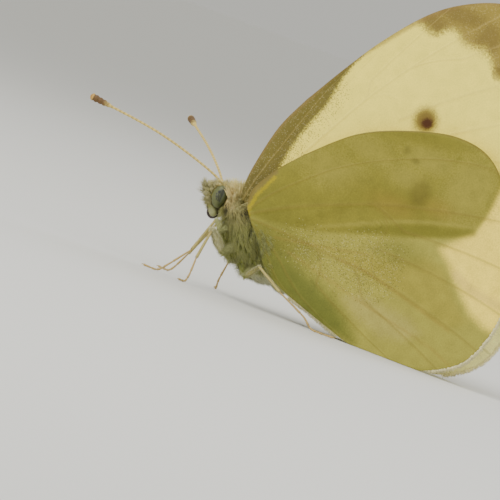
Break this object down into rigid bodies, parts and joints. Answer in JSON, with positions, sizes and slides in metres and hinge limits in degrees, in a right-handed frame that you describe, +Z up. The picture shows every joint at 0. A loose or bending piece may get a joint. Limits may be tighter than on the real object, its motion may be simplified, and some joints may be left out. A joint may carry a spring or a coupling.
{
  "type": "small white butterfly",
  "caption": "Life-size still model of a small white butterfly, wings closed over its back, standing on its six legs and the lower edges of its hindwings.",
  "frame": {"origin": "on the floor, under the middle of the whole animal's box", "axes": "the head faces -X, the butterfly's left side faces -Y, +Z up"},
  "size_m": [0.0336, 0.0128, 0.0264],
  "materials": {
    "forewing": "cream scales with a grey-brown tip, a brown front edge and two dark spots",
    "hindwing": "olive-yellow scales with fine dark speckles and thin orange veins",
    "body_hair": "grey-green hair, buff on top and whitish underneath",
    "face_hair": "pale buff bristly hair",
    "eye": "pale green with dark spots, softly glossy",
    "antenna": "pale yellow shaft with fine rings and a dark brown club",
    "proboscis": "dark brown horn",
    "leg": "pale buff with an orange tinge, whitish hair near the body"
  },
  "bodies": {
    "root": {"head": "face_hair", "eye_left": "eye", "eye_right": "eye", "antenna_left": "antenna", "antenna_right": "antenna", "palp_left": "face_hair", "palp_right": "face_hair", "proboscis": "proboscis", "thorax": "body_hair", "abdomen": "body_hair", "forewing_left": "forewing", "forewing_right": "forewing", "hindwing_left": "hindwing", "hindwing_right": "hindwing", "leg_fore_left": "leg", "leg_fore_right": "leg", "leg_mid_left": "leg", "leg_mid_right": "leg", "leg_hind_left": "leg", "leg_hind_right": "leg"}
  },
  "joints": []
}
